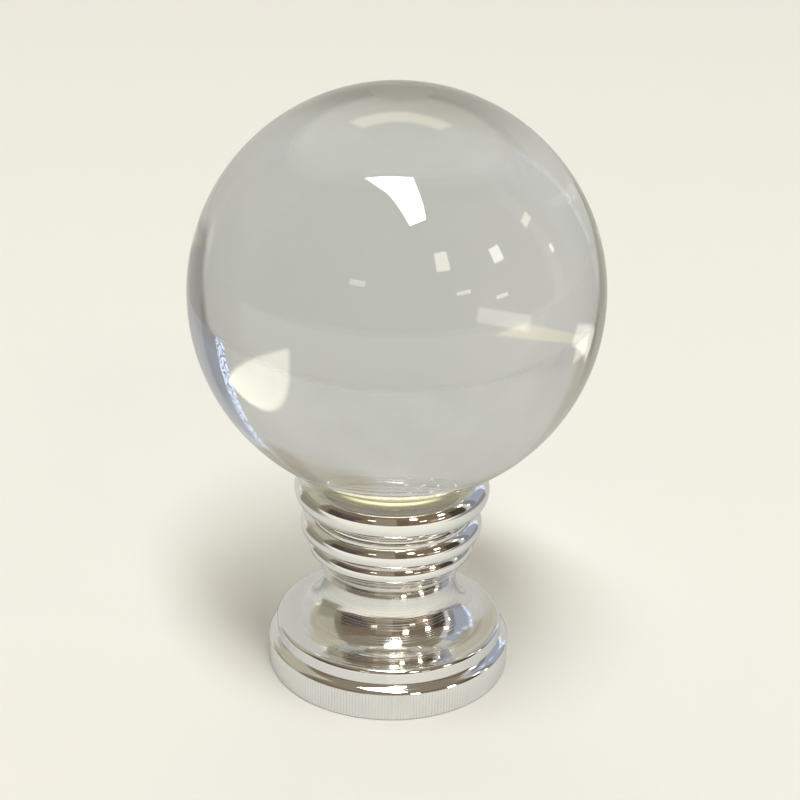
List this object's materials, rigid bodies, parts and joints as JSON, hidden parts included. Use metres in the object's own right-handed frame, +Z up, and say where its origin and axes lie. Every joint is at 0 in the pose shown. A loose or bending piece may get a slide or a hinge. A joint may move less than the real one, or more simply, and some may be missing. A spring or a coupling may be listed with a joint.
{
  "type": "lamp shade finial",
  "caption": "Clear glass ball finial on a turned, bright-plated metal base with a threaded socket, which screws down on a lamp harp to hold the shade.",
  "frame": {"origin": "centre of the flat underside, on the axis of the threaded socket", "axes": "+Z up the axis, from the underside to the top of the ball; X and Y are free, because the part is turned about Z"},
  "size_m": [0.04, 0.04, 0.0603],
  "materials": {
    "clear_glass": "polished, clear, solid",
    "bright_plating": "mirror-bright plating, with fine turning lines on the bell and a knurled band round the foot"
  },
  "bodies": {
    "root": {"crystal_ball": "clear_glass", "metal_base": "bright_plating"}
  },
  "joints": []
}
